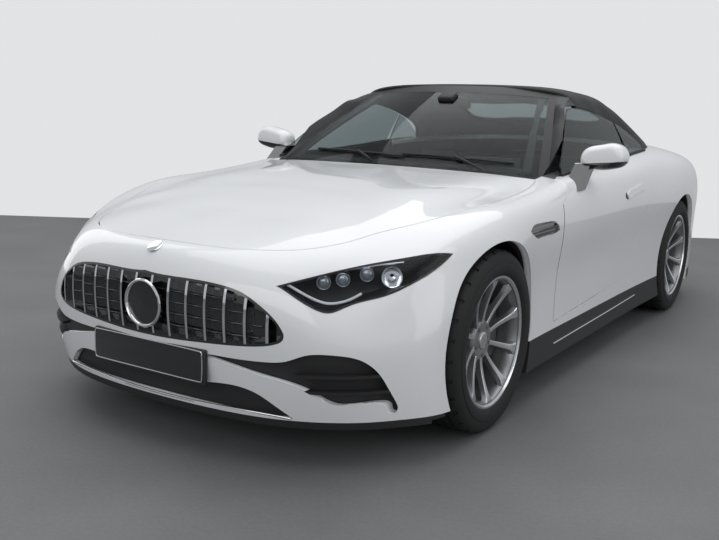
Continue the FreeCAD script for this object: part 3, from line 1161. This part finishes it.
def upright(reach, arm_side):
    post = box_at(upright_inner, upright_outer, -mm.upright, mm.upright, -reach, reach)
    post = post.fuse(pin_at(spindle_radius, upright_inner, hub_face - mm.upright / 2))
    post = post.fuse(pin_at(mm.disc_bell - mm.rim_wall * 2, upright_outer, disc_inner + mm.caliper_wall / 4))
    bracket = box_at(upright_inner, upright_outer, 0, mm.disc_radius, -mm.upright / 2, mm.upright / 2)
    return post.fuse([caliper(0), bracket])


def placed(shape, tag):
    moved = shape.copy()
    moved.Placement = wheel_places[tag]
    return moved


knuckle = upright(mm.kingpin_half, 1)
knuckle = knuckle.fuse(box_at(upright_inner, upright_outer, -mm.steer_arm, 0, -mm.steer_arm_drop - mm.upright / 2, -mm.steer_arm_drop))
upright_middle = (upright_inner + upright_outer) / 2
kingpin_reach = mm.kingpin_half + mm.arm / 2


def kingpin(radius, reach):
    return Part.makeCylinder(radius, reach * 2, Vector(upright_middle, 0, -reach), UP)


knuckle = knuckle.fuse(kingpin(mm.kingpin, kingpin_reach)).removeSplitter()
add("knuckle_left", placed(knuckle, "front_left"))
add("knuckle_right", mirror(placed(knuckle, "front_left")))

kingpin_x = mm.front_wheel_plane + upright_middle
beam_low = mm.floor_height + mm.liner
arm_low = wheel_height - mm.kingpin_half - mm.seat_gap
arm_high = wheel_height + mm.kingpin_half + mm.seat_gap
front_slot = block(-mm.overrun, mm.front_tub, front_axle - mm.beam_half, front_axle + mm.beam_half, low_z, arm_high + mm.arm)
beam = block(-mm.overrun, mm.tower_out, front_axle - mm.beam_half, front_axle + mm.beam_half, beam_low, mm.bay_floor)
beam = beam.fuse(block(mm.tower_in, mm.tower_out, front_axle - mm.beam_half, front_axle + mm.beam_half, beam_low, arm_high + mm.arm))
for level in (arm_low - mm.arm, arm_high):
    arm = block(mm.tower_in, kingpin_x + mm.upright / 2, front_axle - mm.upright / 2, front_axle + mm.upright / 2, level, level + mm.arm)
    beam = beam.fuse(arm)
beam = beam.cut(placed(kingpin(mm.kingpin + mm.bearing_gap, kingpin_reach + mm.seat_gap), "front_left"))
beam = beam.common(block(0, wide_x, 0, mm.length, 0, high_z))
add("front_axle", joined(beam))

rear_slot = block(-mm.overrun, mm.rear_tub, rear_axle - mm.rear_beam_half, rear_axle + mm.rear_beam_half, low_z, mm.boot_floor)
rear = block(0, mm.rear_tub, rear_axle - mm.rear_beam_half, rear_axle + mm.rear_beam_half, mm.rear_beam_low, mm.boot_floor)
link = placed(pin_at(spindle_radius, mm.rear_tub - mm.rear_wheel_plane - mm.upright, upright_inner), "rear_left")
post = placed(upright(mm.disc_radius - mm.caliper_reach, 1), "rear_left")
add("rear_axle", joined(rear.fuse([link, post]).removeSplitter()))
core = core.cut(front_slot).cut(rear_slot)
liners = liners.cut(front_slot).cut(rear_slot)
add("body_shell", joined(largest(core)))
add("arch_liners", Part.makeCompound(pair(liners).Solids))

engine = block(-mm.engine_half, mm.engine_half, mm.engine_from_nose, mm.engine_from_nose + mm.engine_length,
               mm.engine_low, mm.engine_high)
engine = engine.fuse(block(-mm.engine_half / 2, mm.engine_half / 2, front_axle - mm.beam_half,
                           front_axle + mm.beam_half, mm.bay_floor, mm.engine_low))
add("engine", engine.removeSplitter())


COWL_FRONT_SHARES = [
    (0, 0.3401), (0.3133, 0.3418), (0.5849, 0.3464), (0.7687, 0.3518),
]
COWL_REAR_SHARES = [
    (0.7687, 0.3518), (0.7687, 0.3804), (0.4178, 0.3741), (0, 0.3698),
]
cowl_face = past_middle(plan(COWL_FRONT_SHARES), plan(COWL_REAR_SHARES))
cowl = scuttle_top.cut(hull(mm.cowl_drop + mm.cowl_sheet)).common(tower(cowl_face, 0, high_z)).cut(door_zone)
add("cowl", joined(cowl))
vent_room = outer.cut(hull(mm.vent_depth)).common(vent_zone)
VENT_FIN_SHARES = (0.534, 0.547, 0.56)
fins = [block(mm.cabin_half_width, wide_x, front_axle, rear_axle, share * mm.height,
              share * mm.height + mm.vent_fin) for share in VENT_FIN_SHARES]
vents = vent_room.common(hull(mm.vent_depth / 2)).fuse(vent_room.common(Part.makeCompound(fins)))
add("side_vents", pair(largest(vents)))

# Mirrors.
MIRROR_SHARES = [
    (0.8877, 0.7428), (0.9107, 0.7761), (0.9817, 0.7908), (1.0548, 0.7953), (1.0945, 0.7687),
    (1.0914, 0.7332), (1.0444, 0.7169), (0.9399, 0.7125),
]
MIRROR_ARM_SHARES = [
    (0.3745, 0.643), (0.3932, 0.643), (0.4191, 0.728), (0.4028, 0.728),
]
mirror_face = ring(front(MIRROR_SHARES))
mirror_back = mm.mirror_from_nose + mm.mirror_depth
sections = []
for rim, s in ((mm.mirror_round, 0), (mm.mirror_rim, mm.mirror_rim), (0, mm.mirror_round), (0, mm.mirror_depth)):
    wire = resized(mirror_face, -rim).OuterWire.copy()
    wire.translate(REARWARD * (mm.mirror_from_nose + s))
    sections.append(wire)
head = Part.makeLoft(sections, True)
head = head.cut(along(resized(mirror_face, -mm.mirror_rim), mirror_back - mm.mirror_rim, mm.length))
arm = cut_out(MIRROR_ARM_SHARES, mm.mirror_foot_x, mm.mirror_root_x).cut(outer)
add("mirror_left", head.fuse(arm))
add("mirror_right", mirror(head.fuse(arm)))

# Cabin.
DASH_SHARES = [
    (0.3401, 0.473), (0.3401, 0.6445), (0.3741, 0.6563), (0.4038, 0.6504), (0.4219, 0.6208),
    (0.424, 0.5617), (0.4102, 0.473), (0.3911, 0.4139), (0.3613, 0.4139),
]
CONSOLE_SHARES = [
    (0.3613, 0.1478), (0.3613, 0.4154), (0.3911, 0.4154), (0.4251, 0.3695), (0.4676, 0.3104),
    (0.5313, 0.2956), (0.6121, 0.3178), (0.6164, 0.1478),
]
SEAT_SHARES = [
    (0.4655, 0.1478), (0.4591, 0.2217), (0.457, 0.2846), (0.4655, 0.3141), (0.4952, 0.3104),
    (0.5441, 0.2919), (0.5611, 0.3104), (0.5866, 0.5174),
    (0.5972, 0.6282), (0.6047, 0.7095), (0.6153, 0.7206), (0.6196, 0.6948), (0.6153, 0.5913),
    (0.6057, 0.4582), (0.593, 0.3104), (0.5824, 0.2143), (0.5739, 0.1478),
]
REAR_SEAT_SHARES = [
    (0.6355, 0.1478), (0.6355, 0.3104), (0.6419, 0.3326), (0.6759, 0.3252), (0.6844, 0.3474),
    (0.6933, 0.5174), (0.6993, 0.6356), (0.7078, 0.643),
    (0.7078, 0.1478),
]


cabin_half = mm.cabin_half_width - mm.shut_gap * 2
cabin_room = block(-cabin_half, cabin_half, mm.firewall_from_nose + mm.seat_gap,
                   mm.rear_wall_from_nose - mm.seat_gap, mm.floor_top + mm.seat_gap, high_z)
dash = cut_out(DASH_SHARES, -mm.dash_half, mm.dash_half)
dash = dash.fuse(cut_out(CONSOLE_SHARES, -mm.console_half, mm.console_half))
add("dashboard", dash.removeSplitter().common(cabin_room))
seat = cut_out(SEAT_SHARES, mm.seat_inside, mm.seat_outside)
seat = seat.makeFillet(mm.seat_round, [edge for edge in seat.Edges if edge.BoundBox.XLength < mm.seat_gap
                                       and edge.BoundBox.ZMin > at(0, 0, mm.floor_top + mm.seat_round).z])
add("front_seats", pair(seat.common(cabin_room)))
rear_seat = cut_out(REAR_SEAT_SHARES, mm.rear_seat_inside, mm.rear_seat_outside)
add("rear_seats", pair(rear_seat.common(cabin_room)))

WHEEL_SPOT_SHARES = (0.388, 0.4336, 0.583)
column = Vector(0, math.cos(math.radians(mm.column_rake)), math.sin(math.radians(mm.column_rake)))
wheel_centre = spot(*WHEEL_SPOT_SHARES)
steering = doc.addObject("Part::Torus", "steering_rim")
steering.setExpression("Radius1", "sizes.steering_radius * 1 mm")
steering.setExpression("Radius2", "sizes.steering_grip * 1 mm")
doc.recompute()
rim_shape = steering.Shape.copy()
spokes = Part.makeCylinder(mm.steering_hub, mm.steering_grip * 2, Vector(0, 0, -mm.steering_grip * 2), UP)
bar_half = mm.steering_radius
spokes = spokes.fuse([
    Part.makeBox(bar_half * 2, mm.steering_grip * 3, mm.steering_grip, Vector(-bar_half, -mm.steering_grip * 1.5, -mm.steering_grip)),
    Part.makeBox(mm.steering_grip * 3, bar_half, mm.steering_grip, Vector(-mm.steering_grip * 1.5, -bar_half, -mm.steering_grip))])
spokes = spokes.fuse(Part.makeCylinder(mm.steering_grip, mm.column_length, ORIGIN, UP * -1))
steering_shape = rim_shape.fuse(spokes)
steering_shape.rotate(ORIGIN, LEFT, mm.column_rake - 90)
steering_shape.translate(wheel_centre)
add("steering_wheel", steering_shape)
bore = Part.makeCylinder(mm.steering_grip + mm.bearing_gap, mm.column_length * 2, wheel_centre, column * -1)
parts["dashboard"].Shape = parts["dashboard"].Shape.cut(bore)

# Exhaust tips in the diffuser.
tips = hull(-mm.tip_proud).cut(hull(mm.tip_length)).common(
    block(mm.tip_inside, mm.tip_outside, mm.boot_end_from_nose + mm.seat_gap, mm.length + mm.overrun,
          mm.tip_low, mm.tip_high))
tip_hole = block(mm.tip_inside + mm.tip_wall, mm.tip_outside - mm.tip_wall, mm.boot_end_from_nose,
                 mm.length + mm.overrun, mm.tip_low + mm.tip_wall, mm.tip_high - mm.tip_wall)
tips = tips.cut(tip_hole.cut(hull(mm.tip_length - mm.tip_wall)))
add("exhaust_tips", pair(tips))
parts["diffuser"].Shape = parts["diffuser"].Shape.cut(pair(block(
    mm.tip_inside, mm.tip_outside, mm.boot_end_from_nose, mm.length + mm.overrun, mm.tip_low, mm.tip_high)))


doc.recompute()
os.makedirs("parts", exist_ok=True)
for name, piece in parts.items():
    shape = piece.Shape
    if "Invalid" in piece.State or shape.isNull() or not shape.isValid():
        raise ValueError("bad shape: " + name)
    shape.exportStep("parts/" + name + ".step")
